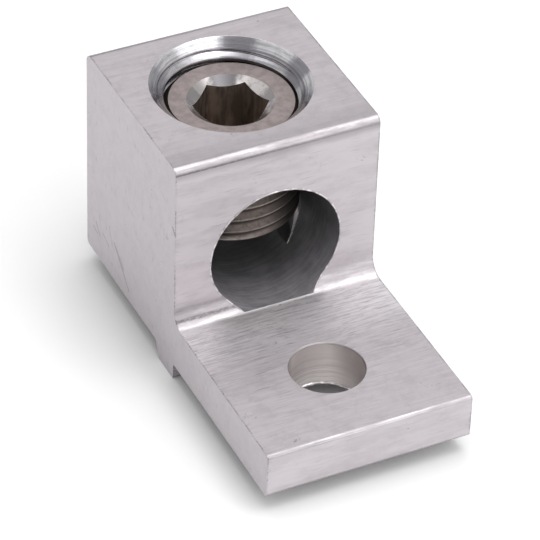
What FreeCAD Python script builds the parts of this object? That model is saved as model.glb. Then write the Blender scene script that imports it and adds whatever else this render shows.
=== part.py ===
import FreeCAD, Part
import math
import os

# Mechanical lug for one conductor: an extruded aluminium body and one socket set screw.
# Millimetres. +Z is up, X runs along the extrusion, the tongue points to -Y.
# The origin is the stud hole's centre, on the tongue's underside.

# Body outline, seen along X
body_width = 28.6
block_depth = 28.0
block_height = 31.2
tongue_reach = 28.05
tongue_thickness = 6.6
foot_drop = 2.5
foot_length = 4.2
foot_slope = 1.4

# Edge radii of the outline
block_front_radius = 1.0
block_back_radius = 1.3
block_heel_radius = 0.8
throat_radius = 2.4
tongue_tip_radius = 0.5
foot_corner_radius = 0.35
foot_root_radius = 0.5

# Stud hole in the tongue
stud_hole_diameter = 9.75
stud_hole_from_tip = 12.45
stud_hole_break = 0.15

# Wire bore through the block, front to back
wire_bore_diameter = 18.35
wire_bore_height = 14.5
wire_bore_runout = 1.5
wire_bore_lead_in = 0.5

# Thread of the clamping screw: 14 turns to the inch, drawn plain at its major diameter.
# The offset is from the middle of the block towards its back. The lead is the tap's tapered end.
thread_diameter = 19.0
thread_pitch = 25.4 / 14
thread_depth_share = 0.6134
thread_clearance = 0.05
tapped_hole_offset = 0.3
tapped_hole_floor = 7.4
tap_lead_length = 3.9
tap_drill_diameter = 16.7
countersink_diameter = 21.3

# Set screw
screw_length = 16.6
screw_recess = 2.6
socket_across_flats = 8.73
socket_depth = 8.0
socket_entry_diameter = 11.5
socket_entry_slope = 36.0
socket_turn = 43.5
drill_point_slope = 31.0

# Overlap of a cutting tool past the face that it leaves
tool_past = 1.0

# Places that follow from the sizes
tongue_tip_y = -stud_hole_from_tip
block_front_y = tongue_tip_y + tongue_reach
block_back_y = block_front_y + block_depth
screw_axis_y = block_front_y + block_depth / 2 + tapped_hole_offset
screw_top_z = block_height - screw_recess
thread_depth = thread_depth_share * thread_pitch

across = FreeCAD.Vector(1, 0, 0)
backward = FreeCAD.Vector(0, 1, 0)
upward = FreeCAD.Vector(0, 0, 1)


def rounded_outline(corners):
    """Closed wire through corners (point, radius), each corner turned by a tangent arc."""
    edges = []
    arcs = []
    count = len(corners)
    for index in range(count):
        point, radius = corners[index]
        to_last = (corners[index - 1][0] - point).normalize()
        to_next = (corners[(index + 1) % count][0] - point).normalize()
        half_angle = to_last.getAngle(to_next) / 2
        trim = radius / math.tan(half_angle)
        bisector = (to_last + to_next).normalize()
        middle = point + bisector * (radius / math.sin(half_angle) - radius)
        arcs.append((point + to_last * trim, middle, point + to_next * trim, radius))
    for index in range(count):
        start, middle, end, radius = arcs[index]
        next_start = arcs[(index + 1) % count][0]
        if radius > 0:
            edges.append(Part.Arc(start, middle, end).toShape())
        edges.append(Part.makeLine(end, next_start))
    return Part.Wire(edges)


def extruded_body():
    """The extrusion: block, tongue and foot in one profile, sawn to width along X."""
    left = -body_width / 2

    def at(y, z):
        return FreeCAD.Vector(left, y, z)

    foot_back_y = block_front_y + foot_length
    corners = [
        (at(tongue_tip_y, 0), tongue_tip_radius),
        (at(tongue_tip_y, tongue_thickness), tongue_tip_radius),
        (at(block_front_y, tongue_thickness), throat_radius),
        (at(block_front_y, block_height), block_front_radius),
        (at(block_back_y, block_height), block_back_radius),
        (at(block_back_y, 0), block_heel_radius),
        (at(foot_back_y + foot_slope, 0), foot_root_radius),
        (at(foot_back_y, -foot_drop), foot_corner_radius),
        (at(block_front_y, -foot_drop), foot_corner_radius),
        (at(block_front_y, 0), foot_root_radius),
    ]
    face = Part.Face(rounded_outline(corners))
    return face.extrude(across * body_width)


def stud_hole_tool():
    """Plain hole through the tongue, with its upper edge broken."""
    radius = stud_hole_diameter / 2
    below = FreeCAD.Vector(0, 0, -tool_past)
    drill = Part.makeCylinder(radius, tongue_thickness + 2 * tool_past, below, upward)
    edge_foot = FreeCAD.Vector(0, 0, tongue_thickness - stud_hole_break)
    edge_break = Part.makeCone(radius, radius + stud_hole_break, stud_hole_break, edge_foot, upward)
    return drill.fuse(edge_break)


def wire_bore_tool():
    """Flat-ended bore, driven from the back and stopped just past the block's front face."""
    radius = wire_bore_diameter / 2
    front_end = FreeCAD.Vector(0, block_front_y - wire_bore_runout, wire_bore_height)
    length = wire_bore_runout + block_depth + tool_past
    drill = Part.makeCylinder(radius, length, front_end, backward)
    lead_foot = FreeCAD.Vector(0, block_back_y - wire_bore_lead_in, wire_bore_height)
    lead_in = Part.makeCone(radius, radius + wire_bore_lead_in, wire_bore_lead_in, lead_foot, backward)
    return drill.fuse(lead_in)


def tapped_hole_tool():
    """Hole for the screw: countersunk, open into the wire bore, its lead ending in the bore's side walls."""
    radius = thread_diameter / 2 + thread_clearance
    lead_foot = FreeCAD.Vector(0, screw_axis_y, tapped_hole_floor)
    lead = Part.makeCone(tap_drill_diameter / 2, radius, tap_lead_length, lead_foot, upward)
    full_foot = lead_foot + upward * tap_lead_length
    full_length = block_height - full_foot.z + tool_past
    tap = Part.makeCylinder(radius, full_length, full_foot, upward)
    sink_radius = countersink_diameter / 2
    sink_depth = sink_radius - radius
    sink_foot = FreeCAD.Vector(0, screw_axis_y, block_height - sink_depth)
    sink = Part.makeCone(radius, sink_radius, sink_depth, sink_foot, upward)
    return tap.fuse([lead, sink])


def make_lug_body():
    body = extruded_body()
    tools = [stud_hole_tool(), wire_bore_tool(), tapped_hole_tool()]
    return body.cut(tools).removeSplitter()


def screw_blank():
    """Turned blank at the thread's major diameter, both ends chamfered at 45 degrees to its root."""
    radius = thread_diameter / 2
    root_radius = radius - thread_depth
    bottom_z = screw_top_z - screw_length
    corners = [
        (0, bottom_z),
        (root_radius, bottom_z),
        (radius, bottom_z + thread_depth),
        (radius, screw_top_z - thread_depth),
        (root_radius, screw_top_z),
        (0, screw_top_z),
        (0, bottom_z),
    ]
    outline = Part.makePolygon([FreeCAD.Vector(r, screw_axis_y, z) for r, z in corners])
    centre = FreeCAD.Vector(0, screw_axis_y, 0)
    return Part.Face(outline).revolve(centre, upward, 360)


def socket_tool():
    """Hexagon socket with a drilled point under it and a conical entry at the screw's face."""
    corner_radius = socket_across_flats / 2 / math.cos(math.pi / 6)
    floor_z = screw_top_z - socket_depth
    turns = [math.radians(socket_turn + 60 * corner) for corner in range(7)]
    corners = [
        FreeCAD.Vector(corner_radius * math.cos(turn), screw_axis_y + corner_radius * math.sin(turn), floor_z)
        for turn in turns
    ]
    hexagon = Part.Face(Part.makePolygon(corners)).extrude(upward * (socket_depth + tool_past))
    flat_radius = socket_across_flats / 2
    point_depth = flat_radius * math.tan(math.radians(drill_point_slope))
    floor_centre = FreeCAD.Vector(0, screw_axis_y, floor_z)
    drill_point = Part.makeCone(flat_radius, 0, point_depth, floor_centre, -upward)
    entry_radius = socket_entry_diameter / 2
    entry_depth = entry_radius * math.tan(math.radians(socket_entry_slope))
    entry_foot = FreeCAD.Vector(0, screw_axis_y, screw_top_z - entry_depth)
    entry = Part.makeCone(0, entry_radius, entry_depth, entry_foot, upward)
    return hexagon.fuse([drill_point, entry])


def make_set_screw():
    return screw_blank().cut(socket_tool()).removeSplitter()


def main():
    os.makedirs("parts", exist_ok=True)
    pieces = {"lug_body": make_lug_body(), "set_screw": make_set_screw()}
    for name, shape in pieces.items():
        box = shape.BoundBox
        print(name, "solids", len(shape.Solids), "valid", shape.isValid(), "volume", round(shape.Volume, 1))
        print("  x", round(box.XMin, 2), round(box.XMax, 2), "y", round(box.YMin, 2), round(box.YMax, 2),
              "z", round(box.ZMin, 2), round(box.ZMax, 2))
        shape.exportStep("parts/" + name + ".step")


main()
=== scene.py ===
import math
import bmesh
import bpy
import numpy as np
from mathutils import Matrix, Vector


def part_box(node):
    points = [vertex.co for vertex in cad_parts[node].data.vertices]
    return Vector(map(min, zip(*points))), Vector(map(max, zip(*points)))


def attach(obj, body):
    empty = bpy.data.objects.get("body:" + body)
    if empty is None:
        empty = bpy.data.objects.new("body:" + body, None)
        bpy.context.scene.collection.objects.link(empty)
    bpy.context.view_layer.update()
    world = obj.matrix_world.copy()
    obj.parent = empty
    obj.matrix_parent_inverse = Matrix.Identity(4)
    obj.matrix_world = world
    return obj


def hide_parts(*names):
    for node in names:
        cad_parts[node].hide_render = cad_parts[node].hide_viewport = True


# Mechanical lug: an extruded aluminium body with a flat tongue, and its threaded set screw.
# Sizes in the dictionaries are millimetres, and become metres where a mesh is made or the camera is placed.

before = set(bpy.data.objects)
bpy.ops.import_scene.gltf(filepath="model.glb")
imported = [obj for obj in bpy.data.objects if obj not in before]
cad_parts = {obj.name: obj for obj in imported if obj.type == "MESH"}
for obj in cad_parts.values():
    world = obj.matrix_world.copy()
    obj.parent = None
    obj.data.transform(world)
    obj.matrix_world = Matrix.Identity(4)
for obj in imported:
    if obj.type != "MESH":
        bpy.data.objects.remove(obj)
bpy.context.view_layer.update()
mm = 0.001
print("frame loaded")

# camera

cameraView = {
    "aim": (0.2053, 17.4035, 9.6037),   # the point in the middle of the picture
    "distance": 465.0,
    "azimuth": -26.842,
    "elevation": 38.615,
    "roll": 2.028,
    "lens": 239.03,
    "sensor": 36.0,
    "clip": (0.01, 20.0),      # metres
}


def makeCamera():
    azimuth = math.radians(cameraView["azimuth"])
    elevation = math.radians(cameraView["elevation"])
    roll = math.radians(cameraView["roll"])
    forward = Vector((
        -math.sin(azimuth) * math.cos(elevation),
        math.cos(azimuth) * math.cos(elevation),
        -math.sin(elevation),
    ))
    levelRight = Vector((math.cos(azimuth), math.sin(azimuth), 0))
    levelUp = levelRight.cross(forward)
    right = levelRight * math.cos(roll) + levelUp * math.sin(roll)
    up = right.cross(forward)
    data = bpy.data.cameras.new("camera")
    data.lens = cameraView["lens"]
    data.sensor_width = cameraView["sensor"]
    data.clip_start, data.clip_end = cameraView["clip"]
    made = bpy.data.objects.new("camera", data)
    bpy.context.scene.collection.objects.link(made)
    place = Matrix((right, up, -forward)).transposed().to_4x4()
    place.translation = (Vector(cameraView["aim"]) - forward * cameraView["distance"]) * mm
    made.matrix_world = place
    bpy.context.scene.camera = made


makeCamera()
print("camera placed")

# sizes read from the frame, and the few that a box can't give

bodyLow, bodyHigh = (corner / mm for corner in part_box("lug_body"))
screwLow, screwHigh = (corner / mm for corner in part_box("set_screw"))

lug = {
    "top": bodyHigh.z,
    "halfWidth": bodyHigh.x,
    "front": 15.6,
    "tongue": 6.6,
    "throat": 2.4,
    "boreRadius": 9.175,
    "boreHeight": 14.5,
    "boreStart": 14.1,
    "studRadius": 4.875,
    "tapFloor": 7.4,
    "tapRadius": 9.55,
    "tapLead": 3.9,
    "drillRadius": 8.35,
    "sinkRadius": 10.65,
    "axis": (screwLow.y + screwHigh.y) / 2,
}

thread = {
    "pitch": 25.4 / 14,
    "crestAt": 29.8,           # height of a screw crest on the side that faces +Y
    "flank": math.tan(math.radians(30)),
    "crestShare": 0.125,       # of the pitch
    "holeMajor": 9.53,
    "holeMinor": 8.7,
    "screwMajor": (screwHigh.x - screwLow.x) / 2 - 0.05,      # just inside the plain screw
    "screwMinor": 8.387,
    "rowsPerPitch": 14,
    "leastStep": 0.01,
}

# mesh helpers

meshLimits = {"merge": 0.0015, "sliver": 0.0005}

# A mesh object from points in millimetres and quads, with doubles merged and faces turned outwards.
def makePiece(name, points, faces, sharpAngle=32.0):
    mesh = bpy.data.meshes.new(name)
    mesh.from_pydata((points * mm).tolist(), [], faces.tolist())
    work = bmesh.new()
    work.from_mesh(mesh)
    bmesh.ops.remove_doubles(work, verts=work.verts, dist=meshLimits["merge"] * mm)
    bmesh.ops.dissolve_degenerate(work, edges=work.edges, dist=meshLimits["sliver"] * mm)
    bmesh.ops.recalc_face_normals(work, faces=work.faces)
    work.to_mesh(mesh)
    work.free()
    mesh.polygons.foreach_set("use_smooth", np.ones(len(mesh.polygons), bool))
    mesh.set_sharp_from_angle(angle=math.radians(sharpAngle))
    made = bpy.data.objects.new(name, mesh)
    bpy.context.scene.collection.objects.link(made)
    return made


# Quads of a grid of rows by columns of points, none of them wrapped.
def gridFaces(rows, columns, offset=0):
    row, column = np.meshgrid(np.arange(rows - 1), np.arange(columns - 1), indexing="ij")
    corner = offset + row * columns + column
    return np.stack([corner, corner + 1, corner + columns + 1, corner + columns], -1)


# Radius across one pitch: flat at major within half the crest's share of phase 0, then 30 degree flanks down
# to minor.
def threadProfile(phase, major, minor):
    away = np.abs((phase + 0.5) % 1.0 - 0.5) * thread["pitch"]
    climb = (away - thread["crestShare"] * thread["pitch"] / 2) / thread["flank"]
    return np.clip(major - climb, minor, major)


# Heights of rows that climb one pitch in a turn, and each row's phase in the thread.
def helixRows(lowest, highest, turn):
    start = math.floor((lowest - thread["crestAt"]) / thread["pitch"]) - 1
    end = math.ceil((highest - thread["crestAt"]) / thread["pitch"]) + 1
    phase = np.arange((end - start) * thread["rowsPerPitch"] + 1) / thread["rowsPerPitch"] + start
    climb = (turn - math.pi / 2) / (2 * math.pi)
    height = thread["crestAt"] + (phase[:, None] + climb[None, :]) * thread["pitch"]
    # a row that almost touches an end is moved onto it, so that no sliver is left between them
    height = np.where(height < lowest + thread["leastStep"], lowest, height)
    height = np.where(height > highest - thread["leastStep"], highest, height)
    return height, phase


# set screw

screwShape = {
    "columns": 240,
    "top": screwHigh.z,
    "bottom": screwLow.z,
    "faceRadius": 8.2,
    "faceShift": 0.12,         # of the face's edge towards +X
    "faceRound": 0.12,
    "acrossFlats": 8.73,
    "socketDepth": 8.0,
    "socketTurn": 43.5,
    "entryRadius": 5.75,
    "entrySlope": 36.0,
    "pointSlope": 31.0,
    "pointShare": 0.999,       # of the half width across the flats
    "endChamfer": 1.1,
}


# Rings round the axis: drilled point, hexagon walls, conical entry, face, helical thread, chamfer, end.
# The hexagon's radius at a turn t is half its width over cos of t's distance from the nearest flat's middle.
def makeSetScrew():
    shape = screwShape
    turn = np.linspace(0, 2 * math.pi, shape["columns"] + 1)
    sixth = math.pi / 3
    fromFlat = (turn - math.radians(shape["socketTurn"])) % sixth - sixth / 2
    flat = shape["acrossFlats"] / 2
    hexagon = flat / np.cos(fromFlat)
    floor = shape["top"] - shape["socketDepth"]
    slope = math.tan(math.radians(shape["entrySlope"]))
    same = np.ones_like(turn)
    entry = shape["top"] - (shape["entryRadius"] - hexagon) * slope
    faceEdge = shape["faceRadius"] + shape["faceShift"] * np.cos(turn)
    rings = [
        (0 * same, (floor - flat * math.tan(math.radians(shape["pointSlope"]))) * same),
        (flat * shape["pointShare"] * same, floor * same),
        (hexagon, floor * same),
        (hexagon, (floor + entry) / 2),
        (hexagon, entry),
        ((hexagon + shape["entryRadius"]) / 2, (entry + shape["top"]) / 2),
        (shape["entryRadius"] * same, shape["top"] * same),
        ((shape["entryRadius"] + shape["faceRadius"]) / 2 * same, shape["top"] * same),
        (faceEdge, shape["top"] * same),
    ]
    low = shape["bottom"]
    high = shape["top"] - shape["faceRound"]
    height, phase = helixRows(low, high, turn)
    radius = threadProfile(phase, thread["screwMajor"], thread["screwMinor"])[:, None]
    upperChamfer = faceEdge + (shape["top"] - height)
    lowerChamfer = thread["screwMajor"] - shape["endChamfer"] + (height - low)
    radius = np.minimum(radius, np.minimum(upperChamfer, lowerChamfer))
    # every row that ends at the top ends in the same edge, so that none folds back over another
    radius = np.where(height >= high, np.minimum(upperChamfer, thread["screwMinor"]), radius)
    rows = [np.stack([r, z]) for r, z in rings]
    rows += [np.stack([radius[i], height[i]]) for i in range(len(phase) - 1, -1, -1)]
    rows += [np.stack([0 * same, low * same])]
    rows = np.array(rows)
    points = np.stack([
        rows[:, 0] * np.cos(turn),
        lug["axis"] + rows[:, 0] * np.sin(turn),
        rows[:, 1],
    ], -1)
    faces = gridFaces(len(rows), len(turn))
    return makePiece("threaded_set_screw", points.reshape(-1, 3), faces.reshape(-1, 4))


setScrew = makeSetScrew()
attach(setScrew, "screw")
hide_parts("set_screw")
print("set screw made:", len(setScrew.data.polygons), "faces")

# thread of the tapped hole

tapShape = {
    "columns": 320,
    "outside": 9.585,          # just inside the metal round the hole
    "lowest": 18.2,            # the tap cut no full thread below this
    "thinnest": 1e-6,          # walls and steps up to this are left out
    "leastCosine": 1e-4,
}


# A shell between the hole's wall and its thread. Its inner radius is the largest of the thread's,
# the countersink's cone and the wire bore's side at that height over the cosine of the turn.
def makeTappedThread():
    shape = tapShape
    turn = np.linspace(0, 2 * math.pi, shape["columns"] + 1)
    sinkFoot = lug["top"] - lug["sinkRadius"]
    low = shape["lowest"]
    high = sinkFoot + shape["outside"]
    height, phase = helixRows(low, high, turn)
    inner = threadProfile(phase, thread["holeMajor"], thread["holeMinor"])[:, None]
    cone = height - sinkFoot
    reach = np.clip(lug["boreRadius"] ** 2 - (height - lug["boreHeight"]) ** 2, 0, None)
    boreSide = np.sqrt(reach) / np.maximum(np.abs(np.cos(turn)), shape["leastCosine"])
    closing = np.where(height <= low + shape["thinnest"], shape["outside"], 0)
    inner = np.maximum(np.maximum(inner, cone), np.maximum(boreSide, closing))
    inner = np.minimum(inner, shape["outside"])
    outer = np.full_like(inner, shape["outside"])
    points = []
    for radius in (inner, outer):
        points.append(np.stack([radius * np.cos(turn), lug["axis"] + radius * np.sin(turn), height], -1))
    faces = gridFaces(len(phase), len(turn))
    wall = outer - inner
    step = height[1:] - height[:-1]
    thickest = np.maximum.reduce([wall[:-1, :-1], wall[1:, :-1], wall[:-1, 1:], wall[1:, 1:]])
    tallest = np.maximum(step[:, :-1], step[:, 1:])
    kept = faces[(thickest > shape["thinnest"]) & (tallest > shape["thinnest"])]
    every = np.concatenate([kept, kept[:, ::-1] + inner.size])
    points = np.concatenate([part.reshape(-1, 3) for part in points])
    return makePiece("tapped_thread", points, every)


tappedThread = makeTappedThread()
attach(tappedThread, "lug")
print("tapped thread made:", len(tappedThread.data.polygons), "faces")

# thin lip that the boring tool raised round the bore's mouth

lipShape = {
    "radius": 0.11,
    "outside": 0.05,           # how far the lip's middle is outside the bore
    "lowest": 6.85,
    "steps": 220,
    "sides": 10,
    "waver": 0.03,
    "waves": (37, 23),
    "endTurn": 0.05,           # radians over which each end thins out
    "depthShare": 0.8,
}


# A thin tube along the mouth. At height z the front surface is at the block's front, and in the throat at
# the arc's middle plus the square root of its radius squared less the drop squared.
def makeBoreLip():
    shape = lipShape
    ring = lug["boreRadius"] + shape["outside"]
    low = math.asin((shape["lowest"] - lug["boreHeight"]) / ring)
    angle = np.linspace(low, math.pi - low, shape["steps"])
    height = lug["boreHeight"] + ring * np.sin(angle)
    drop = np.clip(lug["tongue"] + lug["throat"] - height, 0, lug["throat"])
    front = lug["front"] - lug["throat"] + np.sqrt(lug["throat"] ** 2 - drop ** 2)
    front = np.where(drop > 0, front, lug["front"])
    spread = np.linspace(0, 2 * math.pi, shape["sides"] + 1)
    wave = np.sin(angle * shape["waves"][0]) + np.sin(angle * shape["waves"][1] + 1)
    ends = np.clip(np.minimum(angle - angle[0], angle[-1] - angle) / shape["endTurn"], 0, 1)
    size = ((shape["radius"] + shape["waver"] * wave / 2) * np.sqrt(ends))[:, None]
    radius = ring + size * np.cos(spread)
    points = np.stack([
        radius * np.cos(angle)[:, None],
        front[:, None] + size * np.sin(spread) * shape["depthShare"],
        lug["boreHeight"] + radius * np.sin(angle)[:, None],
    ], -1)
    faces = gridFaces(shape["steps"], shape["sides"] + 1)
    return makePiece("bore_lip", points.reshape(-1, 3), faces.reshape(-1, 4), sharpAngle=60)


boreLip = makeBoreLip()
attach(boreLip, "lug")

# burr that the drill left where it came out under the tongue

exitShape = {
    "radius": 0.17,
    "inside": 0.03,
    "drop": 0.06,
    "waver": 0.07,
    "waves": [(5, 0.7, 1.0), (13, 0.0, 1.0), (31, 0.0, 0.6)],      # count, offset, share
    "steps": 240,
    "sides": 10,
}


# A thin ring just inside the stud hole's lower edge. Its thickness wavers with the turn, as a sum of sines.
def makeExitBurr():
    shape = exitShape
    turn = np.linspace(0, 2 * math.pi, shape["steps"] + 1)
    wave = sum(share * np.sin(turn * count + offset) for count, offset, share in shape["waves"])
    whole = sum(share for count, offset, share in shape["waves"])
    size = (shape["radius"] + shape["waver"] * wave / whole)[:, None]
    spread = np.linspace(0, 2 * math.pi, shape["sides"] + 1)
    radius = lug["studRadius"] - shape["inside"] + size * np.cos(spread)
    points = np.stack([
        radius * np.cos(turn)[:, None],
        radius * np.sin(turn)[:, None],
        size * np.sin(spread) - shape["drop"],
    ], -1)
    faces = gridFaces(shape["steps"] + 1, shape["sides"] + 1)
    return makePiece("stud_exit_burr", points.reshape(-1, 3), faces.reshape(-1, 4), sharpAngle=60)


exitBurr = makeExitBurr()
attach(exitBurr, "lug")

# burr that the tap left where it broke through the bore's sides

burrShape = {
    "radius": 0.13,
    "aboveFloor": 0.05,
    "highest": 10.8,
    "steps": 70,
    "sides": 10,
    "endSteps": 6,             # steps over which each end thins out
    "taper": 0.6,
    "waver": 0.35,
    "wavePerStep": 0.9,
}


# Two thin tubes along the edges. At height z an edge's x is the bore's half width there, and its y lies in
# front of the screw's axis by the square root of the hole's radius squared less x squared. The hole's radius
# grows along the lead.
def makeTapBurr():
    shape = burrShape
    height = np.linspace(lug["tapFloor"] + shape["aboveFloor"], shape["highest"], shape["steps"])
    across = np.sqrt(lug["boreRadius"] ** 2 - (height - lug["boreHeight"]) ** 2)
    along = np.clip((height - lug["tapFloor"]) / lug["tapLead"], 0, 1)
    hole = lug["drillRadius"] + (lug["tapRadius"] - lug["drillRadius"]) * along
    front = lug["axis"] - np.sqrt(np.clip(hole ** 2 - across ** 2, 0, None))
    spread = np.linspace(0, 2 * math.pi, shape["sides"] + 1)
    step = np.arange(shape["steps"])
    thin = np.sqrt(np.clip(np.minimum(step, step[::-1]) / shape["endSteps"], 0, 1))
    thin = thin * (1 - shape["taper"] * step / shape["steps"])
    size = (shape["radius"] * thin * (1 + shape["waver"] * np.sin(step * shape["wavePerStep"])))[:, None]
    points, faces = [], []
    for index, side in enumerate((1, -1)):
        points.append(np.stack([
            side * (across[:, None] + size * np.cos(spread)),
            front[:, None] + size * np.sin(spread),
            np.broadcast_to(height[:, None], (shape["steps"], shape["sides"] + 1)),
        ], -1).reshape(-1, 3))
        faces.append(gridFaces(shape["steps"], shape["sides"] + 1, index * len(points[0])).reshape(-1, 4))
    return makePiece("tap_burr", np.concatenate(points), np.concatenate(faces), sharpAngle=60)


tapBurr = makeTapBurr()
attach(tapBurr, "lug")
print("lip and burrs made")


# node helpers

def setInput(tree, socket, value):
    if isinstance(value, bpy.types.NodeSocket):
        tree.links.new(value, socket)
    elif value is not None:
        socket.default_value = value


def maths(tree, operation, *values, clamp=False):
    made = tree.nodes.new("ShaderNodeMath")
    made.operation = operation
    made.use_clamp = clamp
    for socket, value in zip(made.inputs, values):
        setInput(tree, socket, value)
    return made.outputs[0]


def product(tree, first, *others):
    for value in others:
        first = maths(tree, "MULTIPLY", first, value)
    return first


def largest(tree, first, *others):
    for value in others:
        first = maths(tree, "MAXIMUM", first, value)
    return first


def difference(tree, first, second):
    return maths(tree, "SUBTRACT", first, second)


def isAbove(tree, value, limit):
    return maths(tree, "GREATER_THAN", value, limit)


def isBelow(tree, value, limit):
    return maths(tree, "LESS_THAN", value, limit)


def vectorMaths(tree, operation, *values):
    made = tree.nodes.new("ShaderNodeVectorMath")
    made.operation = operation
    for socket, value in zip(made.inputs, values):
        setInput(tree, socket, value)
    return made.outputs["Value" if operation in ("LENGTH", "DOT_PRODUCT", "DISTANCE") else "Vector"]


def scaled(tree, vector, amount):
    made = tree.nodes.new("ShaderNodeVectorMath")
    made.operation = "SCALE"
    setInput(tree, made.inputs[0], vector)
    setInput(tree, made.inputs["Scale"], amount)
    return made.outputs["Vector"]


def softStep(tree, value, low, high, fromValue=0.0, toValue=1.0):
    made = tree.nodes.new("ShaderNodeMapRange")
    made.interpolation_type = "SMOOTHSTEP"
    for name, given in (("Value", value), ("From Min", low), ("From Max", high),
                        ("To Min", fromValue), ("To Max", toValue)):
        setInput(tree, made.inputs[name], given)
    return made.outputs["Result"]


def mixColours(tree, share, first, second):
    made = tree.nodes.new("ShaderNodeMix")
    made.data_type = "RGBA"
    setInput(tree, made.inputs[0], share)
    setInput(tree, made.inputs[6], first)
    setInput(tree, made.inputs[7], second)
    return made.outputs[2]


def mixValues(tree, share, first, second):
    made = tree.nodes.new("ShaderNodeMix")
    made.data_type = "FLOAT"
    setInput(tree, made.inputs[0], share)
    setInput(tree, made.inputs[2], first)
    setInput(tree, made.inputs[3], second)
    return made.outputs[0]


def noiseAt(tree, vector, scale, detail=2.0, roughness=0.5, distortion=0.0):
    made = tree.nodes.new("ShaderNodeTexNoise")
    for name, given in (("Vector", vector), ("Scale", scale), ("Detail", detail),
                        ("Roughness", roughness), ("Distortion", distortion)):
        setInput(tree, made.inputs[name], given)
    return made.outputs["Fac"]


# Noise whose place is first multiplied along X, Y and Z, so that a small factor draws it out.
def drawnOutNoise(tree, position, factors, *numbers):
    return noiseAt(tree, vectorMaths(tree, "MULTIPLY", position, factors), *numbers)


# A shader node group with named sockets, and its input and output nodes.
def newGroup(name, inputs, outputs):
    group = bpy.data.node_groups.new(name, "ShaderNodeTree")
    for socketName, kind, value in inputs:
        socket = group.interface.new_socket(name=socketName, in_out="INPUT", socket_type="NodeSocket" + kind)
        if value is not None:
            socket.default_value = value
    for socketName, kind in outputs:
        group.interface.new_socket(name=socketName, in_out="OUTPUT", socket_type="NodeSocket" + kind)
    return group, group.nodes.new("NodeGroupInput").outputs, group.nodes.new("NodeGroupOutput").inputs


def useGroup(tree, group, **values):
    made = tree.nodes.new("ShaderNodeGroup")
    made.node_tree = group
    for name, value in values.items():
        setInput(tree, made.inputs[name], value)
    return made.outputs


# Place in millimetres and the surface's direction, both in the object's own frame.
def positionAndNormal(tree):
    coordinates = tree.nodes.new("ShaderNodeTexCoord")
    return scaled(tree, coordinates.outputs["Object"], 1 / mm), coordinates.outputs["Normal"]


def splitVector(tree, vector):
    made = tree.nodes.new("ShaderNodeSeparateXYZ")
    setInput(tree, made.inputs[0], vector)
    return made.outputs


def joinVector(tree, x, y, z):
    made = tree.nodes.new("ShaderNodeCombineXYZ")
    for socket, value in zip(made.inputs, (x, y, z)):
        setInput(tree, socket, value)
    return made.outputs[0]


# effects that the materials share

noiseMiddle = 0.5

grainShape = {
    "coarse": (3.0, 0.6),             # a noise's detail and roughness
    "fine": (2.0, 0.7),
    "cloud": (0.16, 4.0, 0.6),        # a noise's scale, detail and roughness
    "fineInTone": 0.45,
    "fineInHeight": 0.7,
}


# Drawn lines: noise on a place that is squeezed along the drawing direction, coarse and fine together.
def makeGrainGroup():
    group, given, result = newGroup(
        "drawnGrain",
        [("Position", "Vector", None), ("Along", "Vector", (0.03, 1.0, 1.0)), ("Coarse", "Float", 1.6),
         ("Fine", "Float", 9.0)],
        [("Tone", "Float"), ("Height", "Float"), ("Cloud", "Float")],
    )
    coarse = drawnOutNoise(group, given["Position"], given["Along"], given["Coarse"], *grainShape["coarse"])
    fine = drawnOutNoise(group, given["Position"], given["Along"], given["Fine"], *grainShape["fine"])
    setInput(group, result["Tone"], mixValues(group, grainShape["fineInTone"], coarse, fine))
    setInput(group, result["Height"], mixValues(group, grainShape["fineInHeight"], coarse, fine))
    setInput(group, result["Cloud"], noiseAt(group, given["Position"], *grainShape["cloud"]))
    return group


ringShape = {
    "waver": 0.35,
    "waverNoise": (0.25, 1.0),
    "line": (1.0, 2.0, 0.7),
    "crossScale": 0.5,
    "breaks": (0.6, 3.0, 0.75),
}


# Lines left by a turning tool: noise along one distance only, wavering a little from place to place.
def makeToolRingGroup():
    group, given, result = newGroup(
        "toolRings",
        [("Distance", "Float", 0.0), ("Position", "Vector", None), ("Spacing", "Float", 0.25)],
        [("Tone", "Float"), ("Height", "Float")],
    )
    shape = ringShape
    waver = product(group, noiseAt(group, given["Position"], *shape["waverNoise"]), shape["waver"])
    along = maths(group, "DIVIDE", maths(group, "ADD", given["Distance"], waver), given["Spacing"])
    line = joinVector(group, along, 0.0, 0.0)
    setInput(group, result["Height"], noiseAt(group, line, *shape["line"]))
    broken = joinVector(group, along, noiseAt(group, given["Position"], shape["crossScale"]), 0.0)
    setInput(group, result["Tone"], noiseAt(group, broken, *shape["breaks"]))
    return group


scuffShape = {
    "wander": (0.55, 2.0, 0.6, 0.4),
    "line": (0.006, 0.001),           # distance of the noise from its middle, at a scratch's edge and core
    "where": (0.33, 2.0),
    "rare": 0.75,
    "perAmount": 0.3,
    "softness": 0.05,
    "cells": 1.3,
    "chosen": (0.74, 0.79),
    "dot": (0.16, 0.06),
}


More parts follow.
